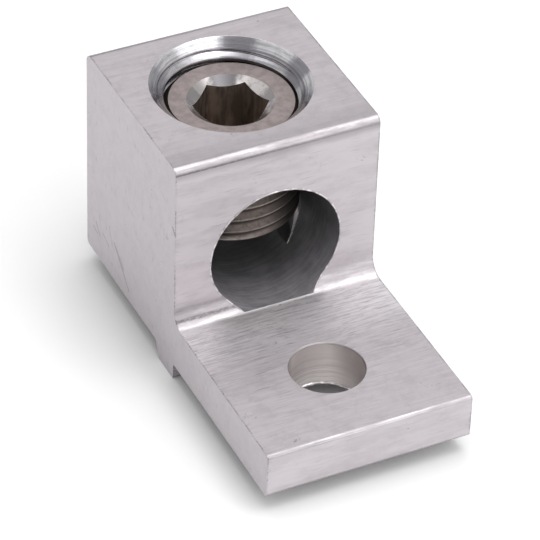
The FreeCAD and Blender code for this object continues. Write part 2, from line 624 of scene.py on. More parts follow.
# Thin scratches and small specks. A scratch is where a stretched noise passes its middle value, and it shows
# only where a slower noise is high. A speck is the middle of a cell that is chosen by its colour.
def makeScuffGroup():
    group, given, result = newGroup(
        "scuffs",
        [("Position", "Vector", None), ("Stretch", "Vector", (0.5, 1.0, 1.0)), ("Amount", "Float", 0.5)],
        [("Scratch", "Float"), ("Speck", "Float")],
    )
    shape = scuffShape
    place = vectorMaths(group, "MULTIPLY", given["Position"], given["Stretch"])
    wander = noiseAt(group, place, *shape["wander"])
    fromMiddle = maths(group, "ABSOLUTE", difference(group, wander, noiseMiddle))
    line = softStep(group, fromMiddle, *shape["line"])
    where = noiseAt(group, given["Position"], *shape["where"])
    threshold = difference(group, shape["rare"], product(group, given["Amount"], shape["perAmount"]))
    shown = softStep(group, where, threshold, maths(group, "ADD", threshold, shape["softness"]))
    setInput(group, result["Scratch"], product(group, line, shown))
    cells = group.nodes.new("ShaderNodeTexVoronoi")
    setInput(group, cells.inputs["Vector"], place)
    cells.inputs["Scale"].default_value = shape["cells"]
    chosen = softStep(group, splitVector(group, cells.outputs["Color"])[0], *shape["chosen"])
    dot = softStep(group, cells.outputs["Distance"], *shape["dot"])
    setInput(group, result["Speck"], product(group, dot, chosen, shown))
    return group


dragShape = {
    "bend": 1.6,
    "bendNoise": (0.12, 2.0),
    "cells": 1.0,
    "softness": 0.02,
    "dot": (0.34, 0.10),
    "depth": (0.0, 1.0, 0.35, 1.0),
}


# Short drag marks. Each is the stretched middle of a cell, whose colour says if it shows and how deep it is.
def makeDragGroup():
    group, given, result = newGroup(
        "dragMarks",
        [("Position", "Vector", None), ("Stretch", "Vector", (0.16, 3.0, 3.0)), ("Share", "Float", 0.4)],
        [("Mark", "Float")],
    )
    shape = dragShape
    bend = product(group, noiseAt(group, given["Position"], *shape["bendNoise"]), shape["bend"])
    bent = vectorMaths(group, "ADD", given["Position"], scaled(group, joinVector(group, 0.0, 1.0, 1.0), bend))
    cells = group.nodes.new("ShaderNodeTexVoronoi")
    setInput(group, cells.inputs["Vector"], vectorMaths(group, "MULTIPLY", bent, given["Stretch"]))
    cells.inputs["Scale"].default_value = shape["cells"]
    tint = splitVector(group, cells.outputs["Color"])
    least = difference(group, 1.0, given["Share"])
    chosen = softStep(group, tint[0], least, maths(group, "ADD", least, shape["softness"]))
    dot = softStep(group, cells.outputs["Distance"], *shape["dot"])
    depth = softStep(group, tint[1], *shape["depth"])
    setInput(group, result["Mark"], product(group, dot, chosen, depth))
    return group


drawnGrain = makeGrainGroup()
toolRings = makeToolRingGroup()
scuffs = makeScuffGroup()
dragMarks = makeDragGroup()


def newMaterial(name):
    material = bpy.data.materials.new(name)
    material.use_nodes = True
    tree = material.node_tree
    return material, tree, tree.nodes["Principled BSDF"]


def bumpFrom(tree, height, strength, distance, normal=None):
    made = tree.nodes.new("ShaderNodeBump")
    setInput(tree, made.inputs["Height"], height)
    setInput(tree, made.inputs["Strength"], strength)
    made.inputs["Distance"].default_value = distance * mm
    setInput(tree, made.inputs["Normal"], normal)
    return made.outputs[0]


def roundedEdges(tree, radius, samples):
    made = tree.nodes.new("ShaderNodeBevel")
    made.samples = samples
    made.inputs["Radius"].default_value = radius * mm
    return made.outputs[0]


def turnRound(tree, x, fromAxis):
    return maths(tree, "ARCTAN2", fromAxis, x)


sectorCore = 0.45                     # share of a sector's half width that has its full depth


# Each sector's depth within it and 0 between them: a soft bump of the turn from +X, round its middle.
def sectorShare(tree, turn, sectors):
    share = 0.0
    for middle, half, depth in sectors:
        away = difference(tree, turn, math.radians(middle))
        away = maths(tree, "ABSOLUTE", maths(tree, "WRAP", away, math.pi, -math.pi))
        bump = softStep(tree, away, math.radians(half), math.radians(half * sectorCore), 0.0, depth)
        share = maths(tree, "MAXIMUM", share, bump)
    return share


# extruded and sawn aluminium of the body

bodyFinish = {
    "colour": (0.54, 0.505, 0.53, 1),
    "paler": (0.62, 0.584, 0.61, 1),
    # dull metal of the wear and marks, and also the colour of the painted shades
    "dull": (0.30, 0.275, 0.29, 1),
    # colour of the painted dark lines along the front edge and in the throat
    "paintedDark": (0.11, 0.10, 0.105, 1),
    "stained": (0.42, 0.394, 0.415, 1),
    # rubbed metal, and painted light on the tongue's top near the block
    "rubbedAndLit": (0.84, 0.81, 0.83, 1),
    "burnished": (0.68, 0.645, 0.667, 1),
    # bright drilled metal painted lit, and its dull rings that also paint shade in the stud hole
    "drilled": (1.0, 0.95, 0.94, 1),
    "drilledDull": (0.58, 0.53, 0.525, 1),
    "sink": (0.93, 0.92, 0.945, 1),
    "sinkDull": (0.54, 0.535, 0.565, 1),
    "sinkShade": (0.22, 0.21, 0.235, 1),
    # the wire bore: painted light at its mouth, painted shade deeper in
    "mouth": (0.54, 0.518, 0.555, 1),
    "boreShadeDeep": (0.075, 0.073, 0.075, 1),
    "boreShadeSide": (0.215, 0.21, 0.22, 1),
    "boredDull": (0.66, 0.66, 0.66),
    "boredMetallic": 0.45,
    "drawnRoughness": 0.58,
    "sawnRoughness": 0.56,
    "sinkRoughness": 0.2,
    "leadRoughness": 0.62,
    "boredRoughness": 0.5,
    "edge": (0.12, 6),                # radius and samples
    "bump": (0.4, 0.02),              # strength and distance
}

# lines and marks of the body, as the groups take them
bodyMarks = {
    "drawn": {"Along": (0.05, 1.0, 1.0), "Coarse": 2.2, "Fine": 6.0},
    "sawn": {"Along": (1.0, 0.8, 0.45), "Coarse": 1.6, "Fine": 4.5},
    "rings": {"Spacing": 0.22},
    "dashes": {"Share": 0.5},
    "sawDashes": {"Stretch": (1.0, 1.6, 0.55), "Share": 0.25},
}

# noises of the body: factors along X, Y and Z, then scale, detail and roughness
bodyNoise = {
    "stain": ((1, 1, 1), 0.42, 5.0, 0.72),
    "burnish": ((0.12, 1.0, 0.5), 1.0, 4.0, 0.65),
    "rubAndLight": ((0.45, 1.4, 1.0), 1.2, 4.0, 0.7),
    "streak": ((0.10, 1.3, 1.0), 2.6, 5.0, 0.75),
    "breaks": ((1.0, 3.0, 3.0), 1.6, 4.0, 0.7),
    "uneven": ((0.16, 1.2, 1.2), 1.0, 4.0, 0.75),
    "burr": ((1, 1, 1), 0.45, 3.0, 0.7),
    "scratchWander": ((1, 1, 1), 1.4, 3.0, 0.7),
    "boreSmear": ((1, 1, 1), 0.3, 4.0, 0.65),
    "boreArcs": ((2.0, 2.2, 1.0), 1.0, 5.0, 0.72),
    "chatter": ((1.0, 1.0, 0.05), 9.0, 4.0, 0.7),
}

# shares of the body's looks: where each begins and ends, then its values there if they aren't 0 and 1
bodyShare = {
    "bore": (0.06, 0.01),             # distance outside the bore's radius
    "sawn": (0.6, 0.9),               # size of the normal's X
    "front": (-0.80, -0.95),          # the normal's Y
    "flatTop": (0.8, 0.95),           # the normal's Z
    "edge": (0.05, 0.2),              # slant, the size of the normal's Y times its Z
    "paler": (0.36, 0.64),
    "cloud": (0.35, 0.75, 0.0, 0.6),
    "stain": (0.44, 0.68, 0.0, 0.34),
    "burnish": (0.38, 0.6, 0.35, 1.0),
    "nearThroat": (1.0, 12.0),        # Y
    "rubAndLight": (0.35, 0.6, 0.65, 1.0),
    "inward": (-9.0, 9.0, 0.3, 1.0),  # Y
    "streak": (0.44, 0.66),
    "dashes": (0.0, 1.0, 0.28, 0.85),
    "breaks": (0.3, 0.62),
    # painted dark lines along the block's front edge and in the throat
    "darkLineSlant": (0.03, 0.1),
    "darkLineEnd": (0.36, 0.2),          # slant
    "darkLineHigh": (10.0, 28.0, 0.3, 1.0),      # Z
    "darkLineUpward": (0.95, 0.6, 0.35, 1.0),
    "darkLineLeft": (10.0, -10.0, 0.4, 1.0),     # X
    # painted shades beside the block's rounded front edge and in the throat
    "underEdge": (-2.2, -0.9, 0.0, 0.45),     # Z from the top
    "behindEdge": (6.0, 1.0, 0.0, 0.30),      # Y from the front
    "throatDarkLine": (0.30, 0.10),       # distance from the line's height
    "lineLeft": (4.0, -9.0, 0.12, 1.0),       # X
    "throatShade": (10.4, 7.7),       # Z
    "shadeLeft": (2.0, -12.0, 0.1, 0.42),     # X
    "atSaw": (0.26, 0.08),            # distance from the sawn side
    "burr": (0.42, 0.6, 0.15, 1.0),
    "paintedDark": (0.0, 1.0, 0.35, 0.8),
    "edgeShade": (0.36, 0.62, 0.0, 0.38),
    "edgeRoughness": (0.38, 0.62, 0.35, 0.50),
    "toneRoughness": (0.3, 0.7, -0.04, 0.04),
    "rings": (0.35, 0.65),
    "chatterStreaks": (0.45, 0.7, 0.0, 0.35),
    "belowSink": (0.0, -0.1, 0.0, 0.36),      # Z from the countersink's foot
    "groove": (0.16, 0.05, 0.0, 0.8),
    "glintWide": (0.95, 0.7),         # distance outside the bore's radius
    "glintHigh": (10.7, 10.2),        # Z
    "boreRight": (2.0, 8.5),          # X
    "boreDepth": (19.5, 34.0),        # Y plus Z times its factor
    "arcs": (0.38, 0.60),
    "studRings": (5.0, 1.5, 0.15, 0.7),       # Z
    "studShadeRight": (2.2, 4.8, 0.0, 0.9),        # X
    "studShadeLeft": (-2.9, -4.1, 0.0, 0.9),
    "studRimShade": (-0.3, -0.12, 0.0, 0.8),       # Z from the tongue's top
}

# single numbers of the body's looks
bodyAmount = {
    "scratch": 0.7,
    "streak": 0.42,
    "sawDashes": 0.3,
    "sawnBurnish": 0.42,
    "throatLineUp": 0.75,             # over the tongue
    "throatShadeUp": 0.7,
    "rubAndLightUp": 1.0,
    "wornEnd": 2.0,                   # before the block's front
    "edgeDeep": 0.6,
    "chatter": 0.8,
    "chatterWaver": 0.22,
    "grooveDrop": 0.05,
    "leadUp": 6.0,                    # over the bore's axis
    "glintUpward": 0.7,
    "boreDepthZ": 0.9,
    "smearInArcs": 0.45,
    "calmBore": 0.55,
    "wearAndShadeDepth": 0.6,
}

# how far the mask of a hole or face reaches past its size, or stays short of it at the top
reachPast = {
    "boreStart": 0.05,
    "tap": 0.02,
    "tapFloor": 0.1,
    "top": 0.01,
    "stud": 0.2,
    "front": 0.1,
    "side": 0.05,
}

# dull sectors round the countersink, partly the tool's chatter and partly painted shade where the cone
# mirrors
# darker surroundings: middle and half width in degrees, depth
chatterAndShadeSectors = [(60, 19, 1.0), (2, 15, 0.9), (152, 26, 0.75), (-60, 22, 0.6), (-135, 30, 0.5)]

sideScratches = [                     # ends in Y and Z, half width, depth
    ((34.6, 6.2), (29.8, 1.6), 0.12, 0.75),
    ((34.0, 5.9), (31.6, 3.9), 0.18, 0.45),
    ((40.6, 5.5), (39.3, 4.0), 0.12, 0.6),
    ((41.6, 4.2), (40.2, 3.9), 0.11, 0.5),
    ((38.4, 5.2), (36.4, 4.4), 0.09, 0.6),
    ((39.4, 7.4), (39.2, 5.6), 0.08, 0.45),
    ((36.2, 8.0), (35.2, 5.2), 0.07, 0.5),
    ((19.9, 25.1), (18.2, 24.5), 0.07, 0.35),
    ((30.3, 15.6), (28.0, 15.0), 0.06, 0.35),
    ((26.0, 27.0), (22.5, 26.2), 0.05, 0.3),
    ((16.3, 21.9), (15.6, 21.2), 0.16, 0.9),
]
scratchShape = {"wander": 0.5, "edge": 1.6, "core": 0.4}      # edge and core are times the half width


# Everything that the body's looks are made from: the place, the way the surface faces, the grain and rings,
# and the masks of the bored, tapped and drilled surfaces, found by their distance from each hole's axis.
def readBody(tree):
    position, normal = positionAndNormal(tree)
    x, y, z = splitVector(tree, position)
    across, along, upward = splitVector(tree, normal)
    fromBore = vectorMaths(tree, "LENGTH", joinVector(tree, x, 0.0, difference(tree, z, lug["boreHeight"])))
    fromTap = vectorMaths(tree, "LENGTH", joinVector(tree, x, difference(tree, y, lug["axis"]), 0.0))
    fromStud = vectorMaths(tree, "LENGTH", joinVector(tree, x, y, 0.0))
    bore = product(tree, softStep(tree, difference(tree, fromBore, lug["boreRadius"]), *bodyShare["bore"]),
                   isAbove(tree, y, lug["boreStart"] - reachPast["boreStart"]))
    tap = product(tree, isBelow(tree, fromTap, lug["sinkRadius"] + reachPast["tap"]),
                  isBelow(tree, z, lug["top"] - reachPast["top"]),
                  isAbove(tree, z, lug["tapFloor"] - reachPast["tapFloor"]), difference(tree, 1.0, bore))
    stud = product(tree, isBelow(tree, fromStud, lug["studRadius"] + reachPast["stud"]),
                   isBelow(tree, z, lug["tongue"] - reachPast["top"]))
    machined = largest(tree, bore, tap, stud)
    plain = difference(tree, 1.0, machined)
    sawn = product(tree, softStep(tree, maths(tree, "ABSOLUTE", across), *bodyShare["sawn"]), plain)
    # a rounded edge of the outline faces neither along Y nor along Z
    slant = maths(tree, "ABSOLUTE", product(tree, along, upward))
    drawnLines = useGroup(tree, drawnGrain, Position=position, **bodyMarks["drawn"])
    sawnLines = useGroup(tree, drawnGrain, Position=position, **bodyMarks["sawn"])
    ringDistance = mixValues(tree, bore, z, y)
    rings = useGroup(tree, toolRings, Distance=ringDistance, Position=position, **bodyMarks["rings"])
    inThroat = product(tree, isAbove(tree, y, lug["front"] - lug["throat"]), plain,
                       isBelow(tree, y, lug["front"] + reachPast["front"]), difference(tree, 1.0, sawn))
    breaks = drawnOutNoise(tree, position, *bodyNoise["breaks"])
    return {
        "position": position, "x": x, "y": y, "z": z, "upward": upward, "slant": slant, "fromBore": fromBore,
        "bore": bore, "tap": tap, "stud": stud, "machined": machined, "plain": plain, "sawn": sawn,
        "edge": product(tree, softStep(tree, slant, *bodyShare["edge"]), plain),
        "onFront": product(tree, softStep(tree, along, *bodyShare["front"]), plain),
        "flatTop": product(tree, softStep(tree, upward, *bodyShare["flatTop"]), plain),
        "inThroat": inThroat,
        "inLead": isBelow(tree, z, lug["boreHeight"] + bodyAmount["leadUp"]),
        "tone": mixValues(tree, sawn, drawnLines["Tone"], sawnLines["Tone"]),
        "lineHeight": mixValues(tree, sawn, drawnLines["Height"], sawnLines["Height"]),
        "cloud": drawnLines["Cloud"],
        "ringTone": softStep(tree, rings["Tone"], *bodyShare["rings"]),
        "ringHeight": rings["Height"],
        "breaks": softStep(tree, breaks, *bodyShare["breaks"]),
        "uneven": drawnOutNoise(tree, position, *bodyNoise["uneven"]),
    }


# A noise of the body and the share that it gives, which have the same name.
def patches(tree, at, name):
    return softStep(tree, drawnOutNoise(tree, at["position"], *bodyNoise[name]), *bodyShare[name])


# Clean metal of the drawn and sawn faces: paler lines and clouds, faint stains a few millimetres across, a
# burnished front, and the tongue's top rubbed bright near the block, with painted light there as well.
def metalColour(tree, at):
    finish, share = bodyFinish, bodyShare
    colour = mixColours(tree, softStep(tree, at["tone"], *share["paler"]), finish["colour"], finish["paler"])
    colour = mixColours(tree, softStep(tree, at["cloud"], *share["cloud"]), colour, finish["paler"])
    stain = product(tree, patches(tree, at, "stain"), at["plain"])
    colour = mixColours(tree, stain, colour, finish["stained"])
    burnished = largest(tree, product(tree, patches(tree, at, "burnish"), at["onFront"]),
                        product(tree, at["sawn"], bodyAmount["sawnBurnish"]))
    colour = mixColours(tree, burnished, colour, finish["burnished"])
    rubbedAndLit = product(tree, patches(tree, at, "rubAndLight"), softStep(tree, at["y"], *share["nearThroat"]),
                     at["flatTop"], isBelow(tree, at["z"], lug["tongue"] + bodyAmount["rubAndLightUp"]))
    return mixColours(tree, rubbedAndLit, colour, finish["rubbedAndLit"])


# The deepest of the side's scratches at a place. The distance from a scratch is that from the nearest point
# of the line between its ends, found by projecting the place on that line and keeping the share within 0
# and 1.
def scratchShare(tree, at):
    shape = scratchShape
    wander = difference(tree, drawnOutNoise(tree, at["position"], *bodyNoise["scratchWander"]), noiseMiddle)
    wander = product(tree, wander, shape["wander"])
    flat = joinVector(tree, 0.0, maths(tree, "ADD", at["y"], wander), at["z"])
    deepest = 0.0
    for start, end, half, depth in sideScratches:
        line = (0.0, end[0] - start[0], end[1] - start[1])
        away = vectorMaths(tree, "SUBTRACT", flat, (0.0, start[0], start[1]))
        length = line[1] ** 2 + line[2] ** 2
        share = maths(tree, "DIVIDE", vectorMaths(tree, "DOT_PRODUCT", away, line), length, clamp=True)
        distance = vectorMaths(tree, "LENGTH", vectorMaths(tree, "SUBTRACT", away, scaled(tree, line, share)))
        mark = softStep(tree, distance, half * shape["edge"], half * shape["core"], 0.0, depth)
        deepest = maths(tree, "MAXIMUM", deepest, mark)
    return product(tree, deepest, isBelow(tree, at["x"], reachPast["side"] - lug["halfWidth"]))


# Painted soft shades along the block's rounded front edge, below it on the front and behind it on the top,
# and a painted shade in the throat above its painted dark line.
def shadeShare(tree, at):
    share = bodyShare
    fromTop = difference(tree, at["z"], lug["top"])
    underEdge = product(tree, softStep(tree, fromTop, *share["underEdge"]), at["onFront"])
    fromFront = difference(tree, at["y"], lug["front"])
    behindEdge = product(tree, softStep(tree, fromFront, *share["behindEdge"]), at["flatTop"],
                         isAbove(tree, fromTop, -bodyAmount["edgeDeep"]))
    throatShade = product(tree, softStep(tree, at["z"], *share["throatShade"]),
                          isAbove(tree, at["z"], lug["tongue"] + bodyAmount["throatShadeUp"]),
                          softStep(tree, at["x"], *share["shadeLeft"]), at["inThroat"])
    return largest(tree, underEdge, behindEdge, throatShade)


# A fine burr, in patches, along the edges that the saw left.
def sawBurrShare(tree, at):
    fromSaw = difference(tree, lug["halfWidth"], maths(tree, "ABSOLUTE", at["x"]))
    unsawn = difference(tree, at["plain"], at["sawn"])
    return product(tree, softStep(tree, fromSaw, *bodyShare["atSaw"]), unsawn, patches(tree, at, "burr"),
                   at["breaks"])


# Scratches, specks and short marks, most of all on the tongue's top near the block, with the burr and the
# painted shades.
def wearAndShadeShare(tree, at):
    position, share, amount = at["position"], bodyShare, bodyAmount
    marks = useGroup(tree, scuffs, Position=position)
    dashes = useGroup(tree, dragMarks, Position=position, **bodyMarks["dashes"])
    sawDashes = useGroup(tree, dragMarks, Position=position, **bodyMarks["sawDashes"])
    onTongue = product(tree, isBelow(tree, at["y"], lug["front"] - amount["wornEnd"]), at["flatTop"],
                       softStep(tree, at["y"], *share["inward"]))
    dashShare = mixValues(tree, at["sawn"], softStep(tree, onTongue, *share["dashes"]), 0.0)
    return largest(
        tree,
        product(tree, marks["Scratch"], amount["scratch"]),
        marks["Speck"],
        product(tree, patches(tree, at, "streak"), onTongue, amount["streak"]),
        product(tree, dashes["Mark"], dashShare),
        product(tree, sawDashes["Mark"], at["sawn"], amount["sawDashes"]),
        sawBurrShare(tree, at),
        shadeShare(tree, at),
        scratchShare(tree, at),
    )


# A painted dark line where the block's rounded front edge runs into the face below it, standing in for the
# darker surroundings that the edge mirrors there, and a painted dark line low in the throat, darkest towards
# the left.
def paintedDarkLineShare(tree, at):
    share = bodyShare
    edgeDarkLine = product(tree, softStep(tree, at["slant"], *share["darkLineSlant"]),
                    softStep(tree, at["slant"], *share["darkLineEnd"]), at["plain"],
                    softStep(tree, at["z"], *share["darkLineHigh"]),
                    softStep(tree, at["upward"], *share["darkLineUpward"]),
                    softStep(tree, at["x"], *share["darkLineLeft"]))
    lineHeight = lug["tongue"] + bodyAmount["throatLineUp"]
    fromLine = maths(tree, "ABSOLUTE", difference(tree, at["z"], lineHeight))
    throatDarkLine = product(tree, softStep(tree, fromLine, *share["throatDarkLine"]),
                         softStep(tree, at["x"], *share["lineLeft"]), at["inThroat"])
    return product(tree, largest(tree, edgeDarkLine, throatDarkLine), softStep(tree, at["breaks"], *share["paintedDark"]))


# Dull sectors round the countersink, partly the tool's chatter and partly painted shade where the cone
# mirrors darker surroundings. Fine noise of the turn breaks them up.
def chatterAndShadeShare(tree, at):
    turn = turnRound(tree, at["x"], difference(tree, at["y"], lug["axis"]))
    fine = drawnOutNoise(tree, joinVector(tree, turn, 0.0, at["z"]), *bodyNoise["chatter"])
    waver = product(tree, difference(tree, fine, noiseMiddle), bodyAmount["chatterWaver"])
    sectors = sectorShare(tree, maths(tree, "ADD", turn, waver), chatterAndShadeSectors)
    return largest(tree, sectors, softStep(tree, fine, *bodyShare["chatterStreaks"]))


# The tapped hole from its countersink down, with painted shade below the countersink's foot and in its
# groove.
# In the bore's sides its lead has painted shade, apart from a painted glint: a bright strip low down along
# its front edge.
def sinkColour(tree, at):
    finish, share = bodyFinish, bodyShare
    colour = mixColours(tree, at["ringTone"], finish["sink"], finish["sinkDull"])
    dulled = product(tree, chatterAndShadeShare(tree, at), bodyAmount["chatter"])
    colour = mixColours(tree, dulled, colour, finish["sinkShade"])
    fromFoot = difference(tree, at["z"], lug["top"] - lug["sinkRadius"] + lug["tapRadius"])
    colour = mixColours(tree, softStep(tree, fromFoot, *share["belowSink"]), colour, finish["sinkShade"])
    fromGroove = maths(tree, "ABSOLUTE", maths(tree, "ADD", fromFoot, bodyAmount["grooveDrop"]))
    colour = mixColours(tree, softStep(tree, fromGroove, *share["groove"]), colour, finish["sinkShade"])
    fromWall = difference(tree, at["fromBore"], lug["boreRadius"])
    paintedGlint = product(tree, softStep(tree, fromWall, *share["glintWide"]),
                    softStep(tree, at["z"], *share["glintHigh"]), isBelow(tree, at["y"], lug["axis"]),
                    at["tap"], isBelow(tree, at["upward"], bodyAmount["glintUpward"]))
    colour = mixColours(tree, at["inLead"], colour, finish["boreShadeSide"])
    return mixColours(tree, paintedGlint, colour, finish["drilled"])


# The wire bore, with painted light at its mouth and on the right and painted shade deep inside. Broken arcs
# that the boring tool left come from noise drawn out along the turn round the bore.
def boreColour(tree, at):
    finish, share = bodyFinish, bodyShare
    right = softStep(tree, at["x"], *share["boreRight"])
    deep = mixColours(tree, right, finish["boreShadeDeep"], finish["boreShadeSide"])
    depth = maths(tree, "ADD", at["y"], product(tree, at["z"], bodyAmount["boreDepthZ"]))
    colour = mixColours(tree, softStep(tree, depth, *share["boreDepth"]), finish["mouth"], deep)
    turn = turnRound(tree, at["x"], difference(tree, at["z"], lug["boreHeight"]))
    arcs = drawnOutNoise(tree, joinVector(tree, turn, at["y"], 0.0), *bodyNoise["boreArcs"])
    smears = drawnOutNoise(tree, at["position"], *bodyNoise["boreSmear"])
    arcs = softStep(tree, mixValues(tree, bodyAmount["smearInArcs"], arcs, smears), *share["arcs"])
    return mixColours(tree, arcs, colour, vectorMaths(tree, "MULTIPLY", colour, finish["boredDull"]))


# The stud hole: painted bright where the light falls in, with painted shade on its right and left, the
# drill's rings low down and a painted dark upper rim.
def studColour(tree, at):
    finish, share = bodyFinish, bodyShare
    rings = product(tree, at["ringTone"], softStep(tree, at["z"], *share["studRings"]))
    colour = mixColours(tree, rings, finish["drilled"], finish["drilledDull"])
    for side in ("studShadeRight", "studShadeLeft"):
        colour = mixColours(tree, softStep(tree, at["x"], *share[side]), colour, finish["drilledDull"])
    fromTongue = difference(tree, at["z"], lug["tongue"])
    return mixColours(tree, softStep(tree, fromTongue, *share["studRimShade"]), colour, finish["dull"])


def bodyRoughness(tree, at):
    finish = bodyFinish
    roughness = mixValues(tree, at["sawn"], finish["drawnRoughness"], finish["sawnRoughness"])
    edgeRoughness = softStep(tree, at["uneven"], *bodyShare["edgeRoughness"])
    for mask, value in (
        (at["edge"], edgeRoughness),
        (at["stud"], finish["boredRoughness"]),
        (at["tap"], finish["sinkRoughness"]),
        (product(tree, at["tap"], at["inLead"]), finish["leadRoughness"]),
        (at["bore"], finish["boredRoughness"]),
    ):
        roughness = mixValues(tree, mask, roughness, value)
    return maths(tree, "ADD", roughness, softStep(tree, at["tone"], *bodyShare["toneRoughness"]))


def makeBodyMaterial():
    material, tree, shader = newMaterial("extruded_aluminium")
    finish = bodyFinish
    at = readBody(tree)
    wearAndShade = wearAndShadeShare(tree, at)
    edgeShade = product(tree, at["edge"], softStep(tree, at["uneven"], *bodyShare["edgeShade"]))
    colour = metalColour(tree, at)
    for mask, layer in (
        (wearAndShade, finish["dull"]),
        (paintedDarkLineShare(tree, at), finish["paintedDark"]),
        (edgeShade, finish["dull"]),
        (at["stud"], studColour(tree, at)),
        (at["tap"], sinkColour(tree, at)),
        (at["bore"], boreColour(tree, at)),
    ):
        colour = mixColours(tree, mask, colour, layer)
    setInput(tree, shader.inputs["Base Color"], colour)
    setInput(tree, shader.inputs["Metallic"], mixValues(tree, at["bore"], 1.0, finish["boredMetallic"]))
    setInput(tree, shader.inputs["Roughness"], bodyRoughness(tree, at))
    height = mixValues(tree, at["machined"], at["lineHeight"], at["ringHeight"])
    height = mixValues(tree, product(tree, at["bore"], bodyAmount["calmBore"]), height, noiseMiddle)
    height = difference(tree, height, product(tree, wearAndShade, bodyAmount["wearAndShadeDepth"]))
    rounded = roundedEdges(tree, *finish["edge"])
    setInput(tree, shader.inputs["Normal"], bumpFrom(tree, height, *finish["bump"], rounded))
    return material


# turned aluminium of the screw

screwFinish = {
    "face": (0.425, 0.365, 0.358, 1),
    "faceDark": (0.33, 0.285, 0.278, 1),
    # the conical entry, bright, with its sectors of painted shade
    "entry": (0.84, 0.79, 0.78, 1),
    "entryShade": (0.155, 0.148, 0.155, 1),
    "socket": (0.42, 0.35, 0.305, 1),
    "socketDark": (0.21, 0.175, 0.15, 1),
    "thread": (0.47, 0.425, 0.385, 1),
    # painted shade in the thread's root and below the face, also the colour of the dirt
    "root": (0.10, 0.085, 0.075, 1),
    "crest": (0.30, 0.27, 0.25, 1),
    "roughness": 0.5,
    "entryRoughness": 0.26,
    "entryDeep": 2.0,                 # the conical entry's depth, at most
    "faceDeep": 0.02,
    "endHigh": 1.0,
    "ringSpacing": 0.2,
    "entryWaver": 0.5,
    "mottleInHeight": 0.4,
    "bump": (0.3, 0.02),              # strength and distance
}

# noises of the screw: factors along X, Y and Z, then scale, detail, roughness and distortion
screwNoise = {
    "mottle": ((1, 1, 1), 0.9, 4.0, 0.65),
    "dirt": ((1, 1, 1), 1.1, 5.0, 0.75, 0.5),
    "smear": ((1.0, 1.0, 0.25), 0.7, 3.0, 0.6),
    "entry": ((1, 1, 1), 0.8, 3.0, 0.6),
}

# shares of the screw's looks, as those of the body
screwShare = {
    "face": (0.35, 0.65),
    "thread": (0.3, 0.7),
    "root": (0.45, 0.05),             # distance outside the thread's root
    "crest": (-0.06, -0.02),          # distance outside the thread's crest
    "gap": (-1.5, -0.6),              # Z from the screw's top
    "dirt": (0.46, 0.70, 0.0, 0.55),
    "rightShade": (0.5, 6.5, 0.0, 0.75),  # X
    "smear": (0.38, 0.62),
    "point": (0.3, 0.6),              # the normal's Z
    "pointRings": (0.3, 0.7, 0.1, 0.8),
    "sloped": (0.5, 0.7),             # the normal's Z
    "entryMottle": (0.45, 0.7, 0.0, 0.45),
}

# sectors of painted shade on the socket's entry, where the cone mirrors darker surroundings: middle and half
# width in degrees, depth
entryShadeSectors = [(77, 34, 1.0), (105, 32, 0.4), (142, 26, 0.65), (-8, 18, 0.55)]


# Place on the screw, masks of its face, socket and conical entry, and its mottle and rings.
def readScrew(tree):
    position, normal = positionAndNormal(tree)
    x, y, z = splitVector(tree, position)
    upward = splitVector(tree, normal)[2]
    fromAxis = vectorMaths(tree, "LENGTH", joinVector(tree, x, difference(tree, y, lug["axis"]), 0.0))
    inSocket = product(tree, isBelow(tree, fromAxis, screwShape["entryRadius"]),
                       isAbove(tree, z, screwShape["bottom"] + screwFinish["endHigh"]))
    spacing = screwFinish["ringSpacing"]
    return {
        "position": position, "x": x, "y": y, "z": z, "upward": upward, "fromAxis": fromAxis,
        "inSocket": inSocket,
        "onEntry": product(tree, inSocket, softStep(tree, upward, *screwShare["sloped"]),
                           isAbove(tree, z, screwShape["top"] - screwFinish["entryDeep"])),
        "onFace": isAbove(tree, z, screwShape["top"] - screwFinish["faceDeep"]),
        "mottle": drawnOutNoise(tree, position, *screwNoise["mottle"]),
        "rings": useGroup(tree, toolRings, Distance=fromAxis, Position=position, Spacing=spacing),
    }


# The thread, with painted shade at its root and in the gap below the face and darker crests, and the flat
# face.
def threadAndFaceColour(tree, at):
    finish, share = screwFinish, screwShare
    mottle = softStep(tree, at["mottle"], *share["thread"])
    colour = mixColours(tree, mottle, finish["thread"], finish["face"])
    fromRoot = difference(tree, at["fromAxis"], thread["screwMinor"])
    colour = mixColours(tree, softStep(tree, fromRoot, *share["root"]), colour, finish["root"])
    fromCrest = difference(tree, at["fromAxis"], thread["screwMajor"])
    colour = mixColours(tree, softStep(tree, fromCrest, *share["crest"]), colour, finish["crest"])
    fromTop = difference(tree, at["z"], screwShape["top"])
    colour = mixColours(tree, softStep(tree, fromTop, *share["gap"]), colour, finish["root"])
    face = mixColours(tree, softStep(tree, at["mottle"], *share["face"]), finish["faceDark"], finish["face"])
    return mixColours(tree, at["onFace"], colour, face)


# Dirt in spots, and painted shade towards the bore's right side, on what is neither face nor socket.
def dirtAndShadeShare(tree, at):
    dirt = softStep(tree, drawnOutNoise(tree, at["position"], *screwNoise["dirt"]), *screwShare["dirt"])
    rightShade = softStep(tree, at["x"], *screwShare["rightShade"])
    outside = difference(tree, 1.0, largest(tree, at["onFace"], at["inSocket"]))
    return product(tree, largest(tree, dirt, rightShade), outside)


# The socket's walls show smears, and its drilled floor the drill's rings.
def socketColour(tree, at):
    finish, share = screwFinish, screwShare
    smeared = softStep(tree, drawnOutNoise(tree, at["position"], *screwNoise["smear"]), *share["smear"])
    ringed = softStep(tree, at["rings"]["Tone"], *share["pointRings"])
    smeared = mixValues(tree, softStep(tree, at["upward"], *share["point"]), smeared, ringed)
    return mixColours(tree, smeared, finish["socket"], finish["socketDark"])


